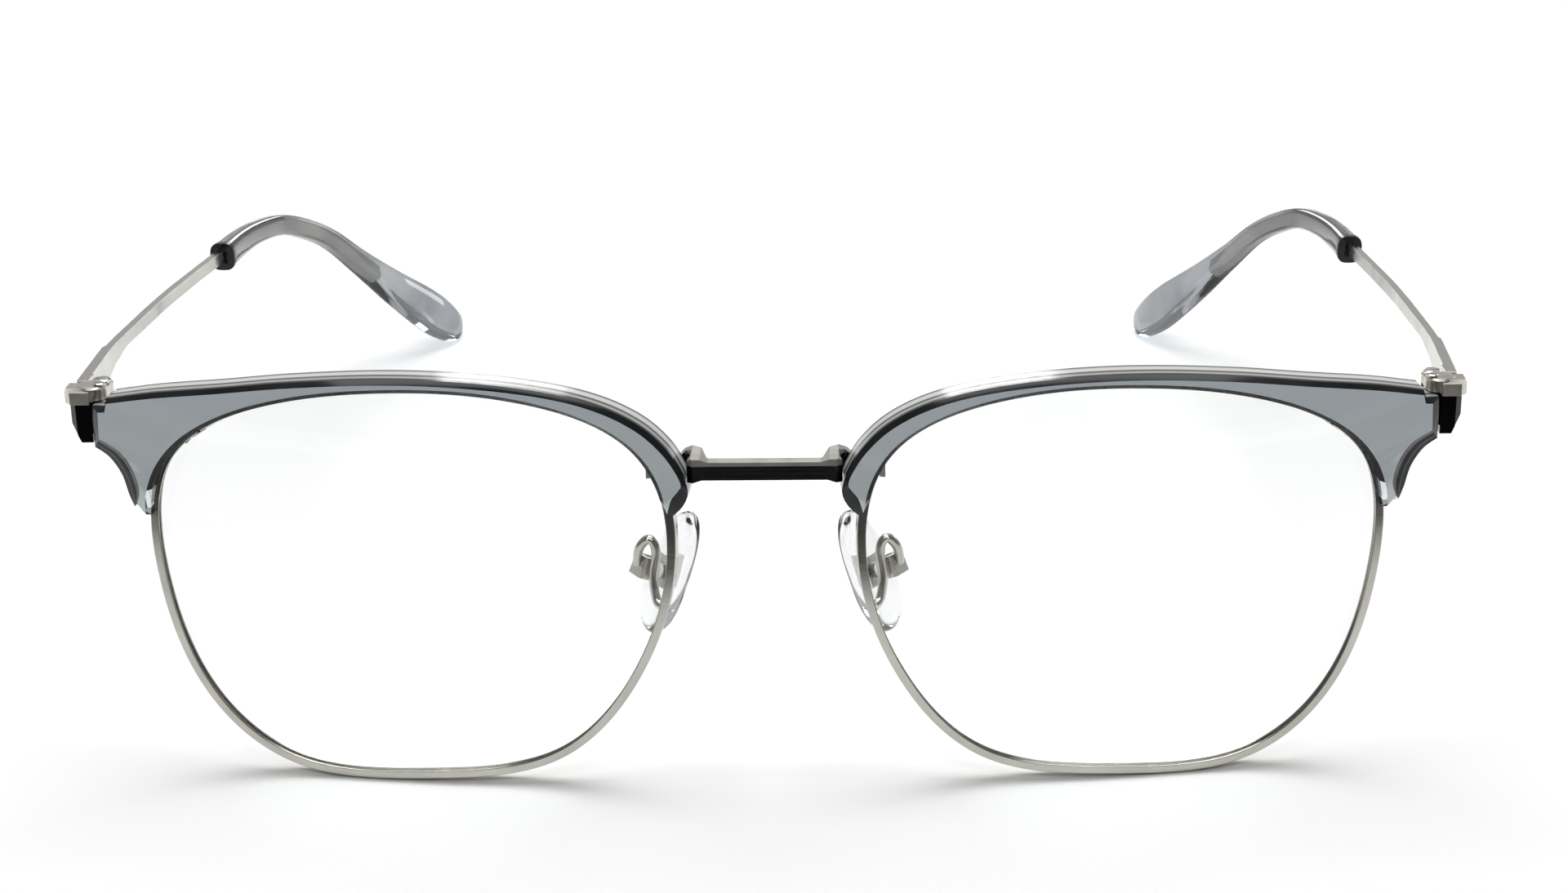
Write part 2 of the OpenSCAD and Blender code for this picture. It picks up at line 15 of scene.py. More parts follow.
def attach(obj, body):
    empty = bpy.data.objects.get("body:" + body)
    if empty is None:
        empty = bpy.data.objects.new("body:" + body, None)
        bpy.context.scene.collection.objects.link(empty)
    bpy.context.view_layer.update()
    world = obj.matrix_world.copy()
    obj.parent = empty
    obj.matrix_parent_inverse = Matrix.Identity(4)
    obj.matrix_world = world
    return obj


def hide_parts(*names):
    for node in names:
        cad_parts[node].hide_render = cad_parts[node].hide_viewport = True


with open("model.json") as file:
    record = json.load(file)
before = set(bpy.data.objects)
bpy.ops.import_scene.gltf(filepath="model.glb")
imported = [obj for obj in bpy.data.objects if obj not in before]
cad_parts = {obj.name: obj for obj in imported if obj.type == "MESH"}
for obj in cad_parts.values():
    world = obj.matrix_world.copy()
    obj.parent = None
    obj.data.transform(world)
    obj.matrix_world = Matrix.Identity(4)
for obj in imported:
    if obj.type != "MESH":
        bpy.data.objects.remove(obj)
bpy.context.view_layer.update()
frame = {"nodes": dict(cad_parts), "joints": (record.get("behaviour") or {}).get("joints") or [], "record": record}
SIDES = ("right", "left")
BODIES = {n: body for body, ns in frame["record"]["behaviour"]["bodies"].items() for n in ns}

# ---------------------------------------------------------------- frames

MM = 0.001  # one millimetre, in metres
EYE_X = 36.7
BASE_R = 135.0
WRAP = math.radians(4.5)
HINGE = Vector((69.7, 11.9, 17.35))  # the hinge joint's place in the leaning front


def front_matrix():
    """Leaning front, in millimetres, to the shared frame: worked out from the record's hinge."""
    hinge = next(j for j in frame["joints"] if j["name"] == "temple_right_fold")
    lean = math.asin(hinge["axis"][1])
    turn = Matrix.Rotation(-lean, 4, "X") @ Matrix.Scale(MM, 4)
    return Matrix.Translation(Vector(hinge["pos_m"]) - turn @ HINGE) @ turn


FRONT = front_matrix()
EYE = FRONT @ Matrix.Translation((EYE_X, 0, 0)) @ Matrix.Rotation(WRAP, 4, "Z")
MIRROR = Matrix.Scale(-1, 4, (1, 0, 0))
EYE_CENTRE = EYE @ Vector((0, BASE_R, 0))  # middle of the sphere that the right lens follows


def on_side(matrix, side):
    return matrix if side == "right" else MIRROR @ matrix


# ---------------------------------------------------------------- curves

# Control points of the lens opening in the eye's own frame, with the temple side at +X. They
# are the rounded result of a least-squares fit to the photo's outline.
LENS = [
    (26.8, -0.6), (27.5, 14.2), (14.2, 20.2), (1, 21.6), (-11.5, 21.1), (-25.3, 16.4),
    (-27.3, 2.3), (-22.8, -10.1), (-14.4, -20.4), (-0.3, -20.9), (14.2, -21.7), (23.4, -13),
]


def lens_blend(t, weights):
    """Weighted sum of the four control points round place t."""
    i = math.floor(t)
    near = [Vector(LENS[(i + k) % len(LENS)]) for k in (-1, 0, 1, 2)]
    return sum((w * p for w, p in zip(weights, near)), Vector((0, 0)))


def rim_at(t, out):
    """Point of the lens opening at t, moved outwards by out."""
    u = t - math.floor(t)
    place = lens_blend(t, (
        (1 - u) ** 3 / 6,
        (3 * u ** 3 - 6 * u ** 2 + 4) / 6,
        (-3 * u ** 3 + 3 * u ** 2 + 3 * u + 1) / 6,
        u ** 3 / 6,
    ))
    way = lens_blend(t, (
        -((1 - u) ** 2) / 2,
        (3 * u ** 2 - 4 * u) / 2,
        (-3 * u ** 2 + 2 * u + 1) / 2,
        u ** 2 / 2,
    ))
    return place + out * Vector((way.y, -way.x)).normalized()


def through(rows, t):
    """Catmull-Rom curve through rows of numbers."""
    i = min(math.floor(t), len(rows) - 2)
    u = t - i
    near = [rows[min(max(i + k, 0), len(rows) - 1)] for k in (-1, 0, 1, 2)]
    return [
        0.5 * (2 * b + (c - a) * u + (2 * a - 5 * b + 4 * c - d) * u * u
               + (3 * b - a - 3 * c + d) * u ** 3)
        for a, b, c, d in zip(*near)
    ]


def run(rows, n):
    """Rows along the curve through rows, with n steps from each one to the next."""
    return [through(rows, i / n) for i in range((len(rows) - 1) * n + 1)]


def heading(rows, t):
    """Direction of the curve through rows at t, taken a little before its very end."""
    t = min(t, len(rows) - 1.02)
    ahead = Vector(through(rows, t + 0.01)[:3])
    return (ahead - Vector(through(rows, t)[:3])).normalized()


def lens_depth(p, behind):
    """Depth in the eye's frame of a point at p, behind the lens curve by behind."""
    return BASE_R - math.sqrt((BASE_R - behind) ** 2 - p[0] ** 2 - p[1] ** 2)


def on_eye(p, behind):
    return Vector((p[0], lens_depth(p, behind), p[1]))


def oval(a, b, power, n):
    """Rounded box outline, half sizes a and b, with sharper corners for a larger power."""
    def bulge(v):
        return math.copysign(abs(v) ** (2 / power), v)
    angles = (2 * math.pi * i / n for i in range(n))
    return [(a * bulge(math.cos(v)), b * bulge(math.sin(v))) for v in angles]


# ---------------------------------------------------------------- meshes

SHARP = math.radians(28)  # edges that turn by more than this stay sharp, or are rounded
SAME_PLACE = 2e-6  # metres within which two corners of a CAD shape are one
SAME_PLANE = math.radians(0.7)  # CAD faces that turn by less than this are joined


def loft(rings, matrix, zones=None, pole=0):
    """Mesh through rings of points. zones(i, j) gives the material of strip j after ring i.

    Each face's map runs along the rings and across the strips, in whole steps. pole is the
    material of the two ends.
    """
    bm = bmesh.new()
    layer = bm.loops.layers.uv.new("along and across")
    rows = [[bm.verts.new(matrix @ Vector(p)) for p in ring] for ring in rings]
    m = len(rows[0])
    for i, (low, high) in enumerate(zip(rows, rows[1:])):
        for j in range(m):
            k = (j + 1) % m
            face = bm.faces.new((low[j], low[k], high[k], high[j]))
            face.material_index = zones(i, j) if zones else 0
            corners = ((i, j), (i, j + 1), (i + 1, j + 1), (i + 1, j))
            for loop, corner in zip(face.loops, corners):
                loop[layer].uv = corner
    for row in (rows[0], rows[-1]):
        face = bm.faces.new(row)
        face.material_index = pole
    return whole(bm)


def whole(bm):
    """Turns a closed bmesh's faces outwards and makes its mesh, smooth but for sharp edges."""
    bmesh.ops.recalc_face_normals(bm, faces=bm.faces)
    mesh = bpy.data.meshes.new("made")
    bm.to_mesh(mesh)
    bm.free()
    mesh.shade_smooth()
    mesh.set_sharp_from_angle(angle=SHARP)
    return mesh


def clean_copy(node):
    """A CAD node's own shape with its faces joined up, so that a bevel can follow its edges."""
    bm = bmesh.new()
    bm.from_mesh(frame["nodes"][node].data)
    bmesh.ops.remove_doubles(bm, verts=bm.verts, dist=SAME_PLACE)
    bmesh.ops.dissolve_limit(bm, angle_limit=SAME_PLANE, verts=bm.verts, edges=bm.edges)
    return whole(bm)


def round_edges(obj, bevel):
    """Rounds sharp edges by bevel millimetres, and keeps the flat faces flat."""
    rounding = obj.modifiers.new("rounded edges", "BEVEL")
    rounding.width = bevel * MM
    rounding.segments = 3
    rounding.limit_method = "ANGLE"
    rounding.angle_limit = SHARP
    rounding.use_clamp_overlap = True
    normals = obj.modifiers.new("flat faces first", "WEIGHTED_NORMAL")
    normals.keep_sharp = True


def show(node, mesh, materials, bevel=0.0):
    """Shows mesh in place of a CAD node, on the node's body, with its edges rounded."""
    mesh.name = node + "_fine"
    obj = bpy.data.objects.new(node + "_fine", mesh)
    bpy.context.scene.collection.objects.link(obj)
    for finish in materials:
        mesh.materials.append(finish)
    if bevel:
        round_edges(obj, bevel)
    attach(obj, BODIES[node])
    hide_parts(node)


# ---------------------------------------------------------------- node trees


class Tree:
    """Writes a node tree with one call for each node."""

    def __init__(self, owner):
        owner.use_nodes = True
        self.tree = owner.node_tree
        self.tree.nodes.clear()

    def node(self, kind, inputs=None, **settings):
        node = self.tree.nodes.new(kind)
        for name, value in settings.items():
            setattr(node, name, value)
        for key, value in (inputs or {}).items():
            self.feed(node.inputs[key], value)
        return node

    def feed(self, socket, value):
        if isinstance(value, bpy.types.NodeSocket):
            self.tree.links.new(value, socket)
        else:
            socket.default_value = value

    def maths(self, operation, a, b=0.0):
        return self.node("ShaderNodeMath", {0: a, 1: b}, operation=operation).outputs[0]

    def scaled(self, vector, by):
        """vector with each of its parts multiplied by the same part of by."""
        node = self.node("ShaderNodeVectorMath", {0: vector, 1: by}, operation="MULTIPLY")
        return node.outputs[0]

    def noise(self, vector, scale, detail=3.0, roughness=0.5):
        node = self.node("ShaderNodeTexNoise", {
            "Vector": vector, "Scale": scale, "Detail": detail, "Roughness": roughness,
        })
        return node.outputs["Fac"]

    def between(self, value, low, high, to_low=0.0, to_high=1.0):
        """Straight-line map of value from low..high to to_low..to_high, held at both ends."""
        node = self.node("ShaderNodeMapRange", {
            0: value, 1: low, 2: high, 3: to_low, 4: to_high,
        })
        return node.outputs[0]

    def colours(self, value, *stops):
        """Colour ramp: stops are (place, (red, green, blue))."""
        node = self.node("ShaderNodeValToRGB", {0: value})
        steps = node.color_ramp.elements
        while len(steps) < len(stops):
            steps.new(0.5)
        for step, (place, colour) in zip(steps, stops):
            step.position = place
            step.color = (*colour, 1)
        return node.outputs["Color"]

    def mix(self, fac, a, b):
        """Colour a where fac is 0, running to colour b where it is 1."""
        node = self.node("ShaderNodeMix", data_type="RGBA")
        colour_in = [s for s in node.inputs if s.type == "RGBA"]
        self.feed(node.inputs[0], fac)
        self.feed(colour_in[0], a)
        self.feed(colour_in[1], b)
        return next(s for s in node.outputs if s.type == "RGBA")

    def bump(self, height, distance, strength=1.0):
        return self.node("ShaderNodeBump", {
            "Height": height, "Distance": distance, "Strength": strength,
        }).outputs[0]

    def surface(self, shader, output="ShaderNodeOutputMaterial"):
        out = self.node(output)
        self.tree.links.new(shader, out.inputs["Surface"])


def rgba(red, green, blue):
    return (red, green, blue, 1.0)


def material(name):
    """A new material, its tree, and the place on the object in metres."""
    made = bpy.data.materials.new(name)
    tree = Tree(made)
    place = tree.node("ShaderNodeTexCoord").outputs["Object"]
    return made, tree, place


FINE_MARKS = 0.000002  # depth of the drawing marks in metal, in metres
ACRYLIC_IOR = 1.49


def polished_metal(name, light, dark, roughness, along):
    """Polished metal with fine drawing marks that run along one direction, and faint tarnish."""
    tarnish = 0.35
    made, tree, place = material(name)
    marks = tree.noise(tree.scaled(place, along), scale=1.0, detail=4, roughness=0.6)
    cloud = tree.noise(place, scale=260)
    rough = tree.maths("ADD", tree.between(marks, 0.3, 0.7, 0, 0.07),
                       tree.between(cloud, 0.35, 0.7, roughness, roughness + 0.06))
    tint = tree.between(cloud, 0.4, 0.75, 0, tarnish)
    shader = tree.node("ShaderNodeBsdfPrincipled", {
        "Base Color": tree.mix(tint, rgba(*light), rgba(*dark)),
        "Metallic": 1.0,
        "Roughness": rough,
        "Normal": tree.bump(marks, FINE_MARKS),
    })
    tree.surface(shader.outputs[0])
    return made


def clear_shader(tree, colour, shade, roughness, normal=None):
    """Clear plastic. Rays from lamps pass through it, tinted by shade."""
    inputs = {
        "Base Color": colour,
        "Roughness": roughness,
        "IOR": ACRYLIC_IOR,
        "Transmission Weight": 1.0,
    }
    if normal is not None:
        inputs["Normal"] = normal
    glass = tree.node("ShaderNodeBsdfPrincipled", inputs)
    passed = tree.node("ShaderNodeBsdfTransparent", {"Color": rgba(*shade)})
    lamp_ray = tree.node("ShaderNodeLightPath").outputs["Is Shadow Ray"]
    both = tree.node("ShaderNodeMixShader", {
        0: lamp_ray, 1: glass.outputs[0], 2: passed.outputs[0],
    })
    tree.surface(both.outputs[0])


# ---------------------------------------------------------------- materials

RIM_METAL = polished_metal(
    "rim_metal", light=(0.52, 0.505, 0.465), dark=(0.36, 0.345, 0.31),
    roughness=0.14, along=(600, 600, 6000))
TEMPLE_METAL = polished_metal(
    "temple_metal", light=(0.62, 0.605, 0.56), dark=(0.46, 0.44, 0.40),
    roughness=0.13, along=(5000, 120, 5000))
SCREW_METAL = polished_metal(
    "screw_metal", light=(0.68, 0.68, 0.67), dark=(0.45, 0.44, 0.43),
    roughness=0.18, along=(4000, 4000, 4000))


def up_the_front(tree, place):
    """Height along the leaning front, in metres."""
    rise = FRONT.to_3x3() @ Vector((0, 0, 1))
    rise.normalize()
    along = tree.node("ShaderNodeVectorMath", {0: place, 1: rise}, operation="DOT_PRODUCT")
    return tree.maths("SUBTRACT", along.outputs["Value"], FRONT.translation.dot(rise))


def metal_painted_dark_below(name, level, light, shade, below, satin, along):
    """Metal that is light and more satin above one height of the front, and dark below it. The dark below is
    painted reflection of the dark surroundings in front, not the metal's own colour.
    """
    blend = 0.00015  # metres over which one tone runs into the other
    made, tree, place = material(name)
    cloud = tree.noise(place, scale=500)
    grain = tree.noise(tree.scaled(place, along), scale=1.0)
    upper = tree.between(up_the_front(tree, place), level - blend, level)
    warm = tree.mix(tree.between(cloud, 0.4, 0.7), rgba(*light), rgba(*shade))
    shader = tree.node("ShaderNodeBsdfPrincipled", {
        # Below the level the colour is painted dark reflection.
        "Base Color": tree.mix(upper, rgba(*below), warm),
        "Metallic": 1.0,
        "Roughness": tree.maths("ADD", tree.between(upper, 0, 1, 0.12, satin),
                                tree.between(grain, 0.3, 0.7, 0, 0.06)),
        "Normal": tree.bump(grain, FINE_MARKS),
    })
    tree.surface(shader.outputs[0])
    return made


# The colours given as below are painted dark reflection of the surroundings in front of the glasses.
ENDPIECE_METAL = metal_painted_dark_below(
    "endpiece_metal", level=0.0184, light=(0.66, 0.635, 0.57), shade=(0.54, 0.51, 0.45),
    below=(0.035, 0.035, 0.036), satin=0.30, along=(900, 4000, 900))
BRIDGE_METAL = metal_painted_dark_below(
    "bridge_metal", level=0.01395, light=(0.40, 0.39, 0.36), shade=(0.32, 0.31, 0.28),
    below=(0.15, 0.15, 0.147), satin=0.48, along=(300, 5000, 5000))
LUG_METAL = polished_metal(
    "lug_metal", light=(0.70, 0.68, 0.63), dark=(0.50, 0.48, 0.43),
    roughness=0.14, along=(900, 900, 900))


def lens_material():
    """Clear plastic with faint smears left by wiping."""
    made, tree, place = material("lens")
    smears = tree.scaled(place, (90, 60, 240))
    wiped = tree.noise(smears, scale=1.0, detail=5, roughness=0.6)
    colour = tree.colours(wiped, (0.35, (0.985, 0.992, 0.990)), (0.8, (0.972, 0.982, 0.980)))
    clear_shader(tree, colour, shade=(0.95, 0.965, 0.96), roughness=0.0)
    return made


LENS_CLEAR = lens_material()


def smoke_plastic(name, clear, deep, shade, streak):
    """Clear smoke plastic with soft streaks in it."""
    made, tree, place = material(name)
    cloud = tree.noise(tree.scaled(place, streak), scale=1.0, detail=4, roughness=0.55)
    fine = tree.noise(place, scale=900, detail=2)
    colour = tree.colours(cloud, (0.32, clear), (0.72, deep))
    wear = tree.between(fine, 0.4, 0.7, 0.02, 0.07)
    waves = tree.bump(cloud, distance=0.00002, strength=0.4)
    clear_shader(tree, colour, shade, wear, waves)
    return made


TIP_PLASTIC = smoke_plastic(
    "tip_plastic", clear=(0.44, 0.46, 0.48), deep=(0.20, 0.21, 0.23),
    shade=(0.66, 0.68, 0.70), streak=(160, 40, 90))
PAD_PLASTIC = smoke_plastic(
    "pad_plastic", clear=(0.94, 0.95, 0.95), deep=(0.84, 0.85, 0.86),
    shade=(0.93, 0.93, 0.94), streak=(200, 200, 200))
BROW_CLEAR = smoke_plastic(
    "brow_clear", clear=(0.80, 0.83, 0.85), deep=(0.58, 0.61, 0.64),
    shade=(0.80, 0.82, 0.84), streak=(60, 60, 500))


def gloss(name, low, high, size, roughness, shine=0.5):
    """Solid glossy plastic whose colour runs softly between two shades."""
    made, tree, place = material(name)
    cloud = tree.noise(place, size, detail=4, roughness=0.6)
    shader = tree.node("ShaderNodeBsdfPrincipled", {
        "Base Color": tree.colours(cloud, (0.3, low), (0.75, high)),
        "Roughness": tree.between(cloud, 0.35, 0.7, roughness, roughness + 0.08),
        "Specular IOR Level": shine,
        "Normal": tree.bump(cloud, distance=0.000004),
    })
    tree.surface(shader.outputs[0])
    return made


# The bar's bevels and lip are clear plastic: this near black is painted dark reflection of the surroundings in
# front.
BROW_EDGE_PAINTED_DARK = gloss(
    "brow_edge_painted_dark", low=(0.008, 0.009, 0.010), high=(0.020, 0.022, 0.024),
    size=120, roughness=0.10, shine=0.22)
COLLAR = gloss(
    "collar", low=(0.008, 0.008, 0.009), high=(0.022, 0.022, 0.024),
    size=1500, roughness=0.14)


def plastic_wear(tree, place, least, most):
    """Roughness of the brow bar's polished plastic, which varies a little."""
    return tree.between(tree.noise(place, scale=700, detail=2), 0.4, 0.7, least, most)


def brow_upper_material():
    """The top of the brow bar seen from above: bands that follow the lens curve. They stand partly for the bar's
    sawn sheets and partly for painted reflection and painted highlight in its clear plastic.
    """
    waviness = 0.00006
    front, back = -0.0022, 0.0018  # how far behind the lens curve the bands begin and end
    made, tree, place = material("brow_upper")
    parts = tree.node("ShaderNodeSeparateXYZ", {0: place})
    mirrored = tree.node("ShaderNodeCombineXYZ", {
        0: tree.maths("ABSOLUTE", parts.outputs["X"]),
        1: parts.outputs["Y"],
        2: parts.outputs["Z"],
    }).outputs[0]
    away = tree.node("ShaderNodeVectorMath", {0: mirrored, 1: EYE_CENTRE}, operation="DISTANCE")
    waver = tree.between(tree.noise(place, scale=90, detail=2), 0, 1, -waviness, waviness)
    depth = tree.maths("SUBTRACT", BASE_R * MM, away.outputs["Value"])
    band = tree.between(tree.maths("ADD", depth, waver), front, back)
    # The black and dark bands are partly painted reflection, and the pale band is a painted highlight.
    black, dark, grey, pale = 0.012, 0.10, 0.34, 0.58
    steps = (
        (0.00, black), (0.20, black), (0.26, grey), (0.36, grey),
        (0.41, dark), (0.50, dark), (0.56, pale), (0.73, pale), (0.79, grey), (0.86, dark),
    )
    colour = tree.colours(band, *((at, (v, v, v * 0.98)) for at, v in steps))
    shader = tree.node("ShaderNodeBsdfPrincipled", {
        "Base Color": colour,
        "Roughness": plastic_wear(tree, place, 0.12, 0.2),
        "Specular IOR Level": 0.3,
    })
    tree.surface(shader.outputs[0])
    return made


BROW_UPPER = brow_upper_material()


def brow_slope_material():
    """The wide slope at the bar's outer end: dark lines along it, and pale next to its face. The dark lines are
    painted reflection of the dark surroundings in front, and the pale edge is a painted highlight.
    """
    first, last = 1, 3  # points of the bar's cross-section that the slope lies between
    made, tree, place = material("brow_slope")
    across = tree.node("ShaderNodeSeparateXYZ", {
        0: tree.node("ShaderNodeTexCoord").outputs["UV"],
    }).outputs["Y"]
    waver = tree.between(tree.noise(place, scale=160, detail=2), 0, 1, -0.05, 0.05)
    band = tree.between(tree.maths("ADD", across, waver), first, last)
    # black, shade and line are painted dark reflection; pale is a painted highlight.
    black, shade, line, pale = 0.006, 0.17, 0.10, 0.50
    steps = (
        (0.00, pale), (0.05, shade), (0.24, shade), (0.32, black), (0.58, black),
        (0.63, line), (0.67, line), (0.72, black), (0.96, black), (1.00, shade),
    )
    colour = tree.colours(band, *((at, (v * 0.95, v, v * 0.99)) for at, v in steps))
    shader = tree.node("ShaderNodeBsdfPrincipled", {
        "Base Color": colour,
        "Roughness": plastic_wear(tree, place, 0.12, 0.2),
        "Specular IOR Level": 0.1,
    })
    tree.surface(shader.outputs[0])
    return made


BROW_SLOPE = brow_slope_material()


def brow_face_material():
    """The smoke sheet at the front of the brow bar: even, a little bluer towards its top."""
    low, high = 0.030, 0.044  # heights between which it turns bluer, in metres
    made, tree, place = material("brow_face")
    cloud = tree.noise(place, scale=55, detail=4, roughness=0.6)
    height = tree.node("ShaderNodeSeparateXYZ", {0: place}).outputs["Z"]
    top = tree.between(height, low, high)
    tint = tree.mix(top, rgba(0.520, 0.560, 0.565), rgba(0.525, 0.570, 0.605))
    deeper = tree.mix(tree.between(cloud, 0.3, 0.75, 0, 0.35), tint, rgba(0.470, 0.515, 0.535))
    shader = tree.node("ShaderNodeBsdfPrincipled", {
        "Base Color": deeper,
        "Roughness": plastic_wear(tree, place, 0.16, 0.24),
        "Coat Weight": 0.6,
        "Coat Roughness": 0.03,
        "Normal": tree.bump(cloud, distance=0.00001, strength=0.3),
    })
    tree.surface(shader.outputs[0])
    return made


BROW_FACE = brow_face_material()


# ---------------------------------------------------------------- rims and lenses

RIM_W = 0.95
RIM_D = 1.8
GROOVE = 0.45  # depth of the lens groove
LENS_EDGE = 0.4  # how far the lens reaches into the groove
LENS_FRONT = 0.25  # depths of the lens's two faces behind the rim's front
LENS_BACK = 1.55
AIR = 0.05  # left round the lens in its groove
SLIT_AT = 1.4  # place on the lens opening of the saw cut through the rim


def rim_mesh(side):
    """The eyewire with its lens groove, open at the saw cut."""
    half_slit = 0.012  # half the cut's width, as a step along the lens opening
    around = 320
    section = [
        (0, 0), (RIM_W, 0), (RIM_W, RIM_D), (0, RIM_D),
        (0, LENS_BACK + AIR), (GROOVE, LENS_BACK + AIR),
        (GROOVE, LENS_FRONT - AIR), (0, LENS_FRONT - AIR),
    ]
    span = len(LENS) - 2 * half_slit
    places = [SLIT_AT + half_slit + span * i / around for i in range(around + 1)]
    rings = [[on_eye(rim_at(t, out), behind) for out, behind in section] for t in places]
    return loft(rings, on_side(EYE, side))


def lens_mesh(side):
    """The lens: a front and a back face of rounds about the middle, joined at the edge."""
    around = 240
    rounds = 12
    matrix = on_side(EYE, side)
    bm = bmesh.new()
    edge = [rim_at(len(LENS) * i / around, LENS_EDGE) for i in range(around)]
    rows = []
    for depth in (LENS_FRONT, LENS_BACK):
        grid = [
            [bm.verts.new(matrix @ on_eye(p * k / rounds, depth)) for p in edge]
            for k in range(1, rounds + 1)
        ]
        middle = bm.verts.new(matrix @ on_eye((0, 0), depth))
        for j in range(around):
            bm.faces.new((middle, grid[0][j], grid[0][(j + 1) % around]))
        rows.append(grid)
    strips = [(g[k], g[k + 1]) for g in rows for k in range(rounds - 1)]
    strips.append((rows[0][-1], rows[1][-1]))
    for low, high in strips:
        for j in range(around):
            k = (j + 1) % around
            bm.faces.new((low[j], low[k], high[k], high[j]))
    return whole(bm)


for side in SIDES:
    show("rim_" + side, rim_mesh(side), [RIM_METAL], 0.16)
    show("lens_" + side, lens_mesh(side), [LENS_CLEAR])

# ---------------------------------------------------------------- brow bars

BROW_LIP = 0.42  # the bar's lower edge lies this far out over the eyewire
BROW_STEP = RIM_W + 0.1  # and behind the step, this far out round the eyewire
BROW_BACK = 1.8  # the bar's back, behind the lens curve
STEP_DEPTH = -0.1  # the step's floor, just in front of the lens curve
LIP_BEVEL = 0.5
BACK_BEVEL = 0.35
# How far the bar stands in front of the lens curve, at its two lower ends and elsewhere
LOW = 1.5
FULL = 2.3
# Rows: outer edge X and Z, edge of the flat face X and Z, place on the lens opening, front depth
TEMPORAL = [
    (29.1, 8.0, 28.6, 8.5, 0.55, LOW), (29.6, 9.4, 27.9, 10.4, 0.74, FULL),
    (30.3, 11.4, 28.5, 12.5, 0.87, FULL), (31.6, 13.1, 29.9, 14.3, 0.97, FULL),
    (33.1, 14.1, 32.2, 15.4, 1.05, FULL),
]
OUTER_END = [TEMPORAL[-1], (33.1, 18.5, 32.2, 18.1, 1.28, FULL)]
NOTCH = [OUTER_END[-1], (31.6, 18.6, 31.4, 18.2, 1.30, FULL)]
NOTCH_RISE = [NOTCH[-1], (31.3, 19.5, 31.2, 19.1, 1.34, FULL)]
TOP = [
    NOTCH_RISE[-1], (26.0, 20.55, 25.9, 20.1, 1.52, FULL),
    (19.0, 21.5, 18.95, 21.05, 1.80, FULL), (12.0, 22.4, 11.95, 21.95, 2.22, FULL),
    (4.0, 23.0, 4.0, 22.55, 2.78, FULL), (-3.0, 23.05, -3.0, 22.6, 3.31, FULL),
    (-10.0, 22.55, -9.95, 22.1, 3.86, FULL), (-16.0, 21.55, -15.8, 21.15, 4.34, FULL),
    (-20.6, 20.1, -20.35, 19.7, 4.70, FULL), (-24.2, 18.1, -23.9, 17.7, 4.94, FULL),
    (-26.7, 15.7, -26.3, 15.4, 5.12, FULL), (-28.1, 13.4, -27.7, 13.3, 5.24, FULL),
    (-28.75, 11.6, -28.2, 12.0, 5.32, FULL), (-28.7, 10.4, -27.9, 11.4, 5.37, FULL),
    (-28.1, 9.3, -27.2, 10.5, 5.42, FULL), (-27.1, 8.3, -26.7, 8.8, 5.49, LOW),
]
FACE, EDGE, UPPER, BACK, SLOPE = range(5)
# Material of each strip of the cross-section below, in the same order, along the bar's top
BROW_ZONES = [FACE, EDGE, EDGE, UPPER, EDGE, BACK, BACK, BACK, EDGE, EDGE]
# The same where the bar's wide slope runs down to the temple side's lower end
SLOPE_ZONES = [FACE, SLOPE, SLOPE, BACK, BACK, BACK, BACK, BACK, EDGE, EDGE]
# The lowest part, which is clear at the lens
TAIL_ZONES = [FACE, SLOPE, SLOPE, BACK, BACK, BACK, BACK, BACK, BACK, BACK]


def brow_ring(row):
    """Cross-section of the brow bar for one row of the lists above."""
    outer = Vector(row[0:2])
    face = Vector(row[2:4])
    lip = rim_at(row[4], BROW_LIP)
    seat = rim_at(row[4], BROW_STEP)
    up = (outer - lip).normalized()
    bevel = (outer - face).length
    y = -row[5]
    bevel_middle = y + 0.12 + 0.22 * bevel
    bevel_end = y + 0.25 + 0.5 * bevel
    section = [
        (lip + LIP_BEVEL * up, y), (face, y), ((outer + face) / 2, bevel_middle),
        (outer, bevel_end), (outer, BROW_BACK - BACK_BEVEL),
        (outer - BACK_BEVEL * up, BROW_BACK), (seat, BROW_BACK), (seat, STEP_DEPTH),
        (lip, STEP_DEPTH), (lip, y + LIP_BEVEL),
    ]
    return [Vector((p.x, lens_depth(p, 0) + depth, p.y)) for p, depth in section]


def brow_mesh(side):
    rows = run(TEMPORAL, 12)[:-1]
    slope_rows = len(rows)
    tail_rows = 16  # of the slope's rows, those at its lower end
    for stretch, n in ((OUTER_END, 6), (NOTCH, 3), (NOTCH_RISE, 3)):
        rows += run(stretch, n)[:-1]
    rows += run(TOP, 14)

    def zones(i, j):
        if i < tail_rows:
            return TAIL_ZONES[j]
        return SLOPE_ZONES[j] if i < slope_rows else BROW_ZONES[j]
    return loft([brow_ring(r) for r in rows], on_side(EYE, side), zones, pole=BACK)


BROW_MATERIALS = [BROW_FACE, BROW_EDGE_PAINTED_DARK, BROW_UPPER, BROW_CLEAR, BROW_SLOPE]
for side in SIDES:
    show("brow_" + side, brow_mesh(side), BROW_MATERIALS, 0.07)

# ---------------------------------------------------------------- temple tips

# Middle line of the tip, and half its width and half its thickness
TIP = [
    (72.3, 80, 14.55, 1.7, 1.5), (71.85, 86, 14.5, 1.6, 1.4), (70.95, 92.5, 14.25, 1.45, 1.35),
    (69.3, 99.5, 13.4, 1.4, 1.3), (67.1, 104.8, 11.5, 1.4, 1.25), (64.6, 109.4, 8.7, 1.45, 1.25),
    (61.6, 114.2, 4.1, 1.8, 1.35), (58.0, 118.9, -0.9, 2.65, 1.45), (54.2, 123.0, -5.4, 3.4, 1.5),
    (52.1, 125.1, -7.7, 3.2, 1.4), (50.6, 126.5, -9.28, 2.4, 1.1), (50.0, 127.1, -9.98, 1.2, 0.6),
]


